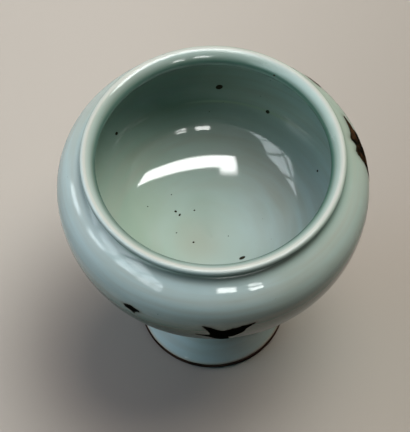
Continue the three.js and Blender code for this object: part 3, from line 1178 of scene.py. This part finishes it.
def stain_coat():
    """Gives each point of the coat its stains, its painted-light blueness, its painted light and shade over
    the pooled glaze, and its dullness.
    """
    coat = celadon_coat.data
    points = np.empty(len(coat.vertices) * 3)
    coat.vertices.foreach_get("co", points)
    x, y, height = points.reshape(-1, 3).T / MM
    turn = np.degrees(np.arctan2(y, x))
    face_lengths = lengths_along(coat_outline)[back_points:]
    past_crest = coat_mark("along") / MM - face_lengths[coat_face[:, 1].argmax()]
    outside = (past_crest < 0) & (coat_mark("along") / MM > face_lengths[0])
    inside = past_crest >= 0
    off_middle = ramp(np.hypot(x, y), *middle_fade) * ramp(height, *throat_blue_fade)

    set_mark(coat, "iron_halo", iron_halo(turn, height, outside))
    angle = math.radians(stain_turn)
    from_stain = np.hypot(x - stain_radius * math.cos(angle), y - stain_radius * math.sin(angle))
    set_mark(coat, "floor_stain", near(from_stain, 0, stain_size) * inside)
    joint_line = near(height, seam_height, seam_line_width) * inside
    set_mark(coat, "seam_line", joint_line * ramp(turn, *seam_line_start) * ramp(turn, *seam_line_end))
    from_flame = (turn - flame_turn + 180) % 360 - 180
    set_mark(coat, "flame_side", outside * ramp(height, *flame_heights) * near(from_flame, 0, flame_reach))
    # Painted light: bluer and paler on the outside's left front and on the inside's right wall, where cool
    # daylight falls, fading out at the middle of the floor and at the throat.
    inner_blue = 0.5 + inner_blue_swing * off_middle * np.cos(np.radians(turn - inner_blue_turn))
    set_mark(coat, "painted_daylight_side", np.where(outside, towards(turn, outer_blue_turn), inner_blue))

    # Painted shade and light inside the bowl, added to the pooled glaze.
    painted_tone_inside = sum(
        depth * near(turn, patch_turn, around) * near(height, patch_height, up_and_down)
        for patch_turn, around, patch_height, up_and_down, depth in wall_patches)
    painted_tone_inside += left_wall_painted_light * towards(turn, inner_blue_turn + 180, 2) * near(height, *left_wall)
    painted_tone_inside += front_floor_painted_shade * near(turn, *front_floor) * ramp(height, *front_floor_fade) * off_middle
    even, leftward = inner_lip_light_shares
    painted_tone_inside += inner_lip_left_painted_light * ramp(height, *lip_fade) * (even + leftward * towards(turn, 180))
    # Painted shade on the front right of the lower belly. Painted light on the foot away from its front and
    # in the crease on the left.
    painted_tone_outside = shaded_belly_depth * near(turn, *shaded_belly_side)
    for fade in shaded_belly_fades:
        painted_tone_outside *= ramp(height, *fade)
    painted_tone_outside += foot_sides_painted_light * ramp(height, *foot_fade) * (1 - near(turn, *foot_front))
    painted_tone_outside += crease_left_painted_light * near(height, *crease_left) * towards(turn, 180, 2)
    pool_and_shade = coat_mark("pool_and_shade") + painted_tone_inside * inside + painted_tone_outside * outside
    set_mark(coat, "pool_and_shade", np.clip(pool_and_shade, 0, 1))

    duller = lip_face_dullness * inside * near(past_crest, *lip_face) * near(turn, *lip_face_turns)
    set_mark(coat, "dull", np.clip(coat_mark("dull") + duller, 0, 1))


stain_coat()

# Floor
# A plain pale table top, warm grey and matt, with nothing on it but the bowl and its shadow. Painted shade
# darkens it from left to right, and it throws less light back on the bowl than it shows.
floor_reach = 6.0
floor_pale = (0.550, 0.505, 0.460, 1)
floor_grain = (0.535, 0.490, 0.445, 1)
floor_bounce = (0.160, 0.145, 0.130, 1)
floor_painted_shade = (0.400, 0.360, 0.320, 1)
shading_reach = 0.16
shading_slant = -0.35
floor_drop = 0.0002
floor_roughness = 0.75
floor_mottling = (3.0, 300.0)
floor_corners = 64


def seen_directly(tree):
    """One for rays from the camera, mirrored or through glass, nothing for light on its way to a surface."""
    path = tree.nodes.new("ShaderNodeLightPath").outputs
    mirrored = maths(tree, "MAXIMUM", path["Is Glossy Ray"], path["Is Transmission Ray"])
    return maths(tree, "MAXIMUM", path["Is Camera Ray"], mirrored)


def table_top():
    mesh = bpy.data.meshes.new("floor")
    angles = np.linspace(0, 2 * math.pi, floor_corners, endpoint=False)
    around = [(floor_reach * math.cos(a), floor_reach * math.sin(a), -floor_drop) for a in angles]
    mesh.from_pydata(around, [], [list(range(floor_corners))])
    material, tree, shader, coordinates = material_with("table_top")
    pale = mixed(tree, mottled(tree, coordinates, *floor_mottling)[0], floor_pale, floor_grain)
    # Painted shade: the floor's colour darkens from left to right.
    place = parts_of(tree, coordinates)
    aside = maths(tree, "MULTIPLY_ADD", place["Y"], shading_slant, place["X"])
    shaded = ranged(tree, aside, -shading_reach, shading_reach, kind="SMOOTHSTEP")
    pale = mixed(tree, shaded, pale, floor_painted_shade)
    put(tree, shader, "Base Color", mixed(tree, seen_directly(tree), floor_bounce, pale))
    shader.inputs["Roughness"].default_value = floor_roughness
    shader.inputs["Specular IOR Level"].default_value = 0.0
    mesh.materials.append(material)
    new_object("floor", mesh)


table_top()

# Studio light
# Soft light comes mostly from above and behind on the right, with cool daylight low on the left. The glaze
# mirrors none of that, and shows only a bright panel overhead, two lamps and a shade in front, and a paned
# window on the left, which light nothing else.
soft_light_distance = 3.0
window_glows = ((-105, 10, 16, (2.00, 1.10, 0.85)), (-75, 10, 16, (1.45, 2.80, 3.30)))
room_backdrop = (0.52, 0.48, 0.44, 1)


def direction(turn, elevation):
    """The way to a light: its turn from the front towards the right, and its elevation, in degrees."""
    turn, elevation = math.radians(turn), math.radians(elevation)
    return (math.sin(turn) * math.cos(elevation), -math.cos(turn) * math.cos(elevation), math.sin(elevation))


def light_the_room():
    """A plain pale room. Its light on surfaces is the window's daylight, two soft glows low on the left."""
    world = bpy.data.worlds.new("room")
    world.use_nodes = True
    bpy.context.scene.world = world
    tree = world.node_tree
    looking = tree.nodes.new("ShaderNodeTexCoord").outputs["Generated"]
    light = (0, 0, 0)
    for turn, elevation, sharpness, colour in window_glows:
        facing = vector_maths(tree, "DOT_PRODUCT", looking, direction(turn, elevation))
        glow = maths(tree, "POWER", maths(tree, "MAXIMUM", facing, 0), sharpness)
        light = vector_maths(tree, "ADD", vector_maths(tree, "SCALE", colour, glow), light)
    put(tree, tree.nodes["Background"], "Color", mixed(tree, seen_directly(tree), light, room_backdrop))


light_the_room()


def area_light(name, shape, width, power, colour, place, axes):
    """A light that the camera doesn't see, at its place and turned along its axes."""
    data = bpy.data.lights.new(name, "AREA")
    data.shape = shape
    data.size = width
    data.energy = power
    data.color = colour
    lamp = new_object(name, data)
    lamp.matrix_world = Matrix.Translation(place) @ axes.to_4x4()
    lamp.visible_camera = False
    return lamp


def soft_light(name, turn, elevation, spread, glow, colour):
    """A round soft light aimed at the bowl, as wide as its spread in degrees. The glaze doesn't mirror it."""
    away = Vector(direction(turn, elevation))
    radius = soft_light_distance * math.tan(math.radians(spread))
    power = glow * (math.pi * radius) ** 2
    axes = away.to_track_quat("Z", "Y").to_matrix()
    lamp = area_light(name, "DISK", 2 * radius, power, colour, away * soft_light_distance, axes)
    lamp.visible_glossy = False


soft_light("main light", 134, 69, 22, 4.7, (1.0, 0.95, 0.86))
soft_light("main light, brighter middle", 130, 73, 11, 5.6, (0.80, 0.97, 1.0))
soft_light("overhead light", 0, 90, 20, 1.0, (1.0, 0.86, 0.86))
soft_light("left light", -108, 46, 16, 1.75, (0.72, 0.80, 1.0))


def mirrored_light(name, middle, across, up, width, height, glow, colour):
    """A flat light that only the glaze's shine shows. Its glow is its brightness, whatever its size."""
    across, up = Vector(across), Vector(up)
    axes = Matrix((across, up, across.cross(up))).transposed()
    lamp = area_light(name, "RECTANGLE", width, glow * math.pi * width * height, colour, middle, axes)
    lamp.data.size_y = height
    lamp.visible_diffuse = False
    return lamp.data


rightward, backward, upward = (1, 0, 0), (0, 1, 0), (0, 0, 1)
lamp_white = (1, 1, 0.98)
mirrored_light("front lamp", (0.24, -1.5, 1.18), rightward, upward, 0.33, 0.31, 15, lamp_white)
mirrored_light("front right lamp", (0.79, -1.5, 1.31), rightward, upward, 0.27, 0.17, 11, lamp_white)
mirrored_light("front right shade", (0.78, -1.5, 1.06), rightward, upward, 0.28, 0.17, 15, lamp_white)


def light_position(data, middle_across, middle_up, width, height):
    """The place on a flat light's face, across and up, in metres."""
    data.use_nodes = True
    tree = data.node_tree
    place = parts_of(tree, tree.nodes.new("ShaderNodeNewGeometry").outputs["Parametric"])
    across = maths(tree, "MULTIPLY_ADD", place["X"], width, middle_across - width / 2)
    up = maths(tree, "MULTIPLY_ADD", place["Y"], height, middle_up - height / 2)
    return tree, across, up


def past(tree, value, edge, softness):
    """Nothing below the edge and one above it, with a soft change. A negative softness swaps the two."""
    low = maths(tree, "SUBTRACT", edge, softness)
    high = maths(tree, "ADD", edge, softness)
    return ranged(tree, value, low, high, kind="SMOOTHSTEP")


def between(tree, value, low, high, softness):
    """One between low and high, nothing outside, with a soft change."""
    return product(tree, past(tree, value, low, softness), past(tree, value, high, -softness))


panel_left = -0.46
panel_right = 1.76
panel_front = -0.86
panel_back = 0.04
panel_height = 1.7
panel_glow = 22
panel_line = -0.61
panel_bend = 0.214
panel_bend_power = 1.5
panel_half_width = 0.165
panel_side_softness = 0.012
panel_left_end = -0.42
panel_right_end = 1.725
panel_slant = 0.455
panel_end_softness = 0.03
wide_end_across = (-0.40, -0.12, 0.05)
wide_end_back = (-0.6, -0.32, 0.10)


def overhead_panel():
    """A long panel of light that bends away at its right end and is wider at its left end."""
    width, depth = panel_right - panel_left, panel_back - panel_front
    middle = ((panel_left + panel_right) / 2, (panel_front + panel_back) / 2)
    data = mirrored_light("overhead panel", (*middle, panel_height), rightward, backward, width, depth,
                          panel_glow, (1, 1, 0.99))
    tree, across, back = light_position(data, *middle, width, depth)
    bend = maths(tree, "POWER", maths(tree, "MAXIMUM", across, 0), panel_bend_power)
    off_line = maths(tree, "SUBTRACT", back, maths(tree, "MULTIPLY_ADD", bend, panel_bend, panel_line))
    right_end = maths(tree, "MULTIPLY_ADD", back, panel_slant, panel_right_end)
    band = product(tree, between(tree, off_line, -panel_half_width, panel_half_width, panel_side_softness),
                   between(tree, across, panel_left_end, right_end, panel_end_softness))
    wide_end = product(tree, between(tree, across, *wide_end_across), between(tree, back, *wide_end_back))
    put(tree, tree.nodes["Emission"], "Strength", maths(tree, "MAXIMUM", band, wide_end))


overhead_panel()

window_wall = -2.0
window_near_end = -3.35
window_far_end = 0.85
window_sill = 0.2
window_head = 2.45
window_glow = 7.5
window_blue = (0.86, 0.96, 1.0)
pane_glow = 0.72
pane_softness = 0.015
upper_panes_from = 1.64
lower_panes = (1.12, 1.56)
bar_from = 0.15
bar_spacing = 0.825
bar_half_width = 0.055
bar_lean = -0.66
bar_lean_from = 1.68
head_line = 2.4
head_fall = -0.45
head_fall_before = 1.25
sill_line = 0.62
sill_slope = 0.42
sill_half_width = 0.11
sill_bar_from = -0.05
sill_bar_spacing = 0.90
sill_bar_half_width = 0.17
sill_softness = 0.05


def paned_window():
    """A window on the left: two rows of panes between narrow bars, and a bright slanting sill below them."""
    width, height = window_far_end - window_near_end, window_head - window_sill
    middle = (-(window_near_end + window_far_end) / 2, (window_sill + window_head) / 2)
    data = mirrored_light("window", (window_wall, -middle[0], middle[1]), (0, -1, 0), upward, width, height,
                          window_glow, window_blue)
    tree, across, up = light_position(data, *middle, width, height)
    lean = product(tree, excess(tree, up, bar_lean_from), bar_lean)
    column = maths(tree, "SUBTRACT", maths(tree, "ADD", across, lean), bar_from)
    columns = past(tree, maths(tree, "PINGPONG", column, bar_spacing / 2), bar_half_width, pane_softness)
    head = maths(tree, "MULTIPLY_ADD", excess(tree, head_fall_before, across), head_fall, head_line)
    rows = maths(tree, "MAXIMUM", between(tree, up, upper_panes_from, head, pane_softness),
                 between(tree, up, *lower_panes, pane_softness))
    panes = product(tree, rows, columns, pane_glow)
    off_sill = maths(tree, "SUBTRACT", up, maths(tree, "MULTIPLY_ADD", across, sill_slope, sill_line))
    from_bar = maths(tree, "PINGPONG", maths(tree, "SUBTRACT", across, sill_bar_from), sill_bar_spacing / 2)
    bright_sill = product(tree, between(tree, off_sill, -sill_half_width, sill_half_width, sill_softness),
                          past(tree, from_bar, sill_bar_half_width, sill_softness))
    put(tree, tree.nodes["Emission"], "Strength", maths(tree, "MAXIMUM", panes, bright_sill))


paned_window()

bpy.context.scene.view_settings.view_transform = "Standard"
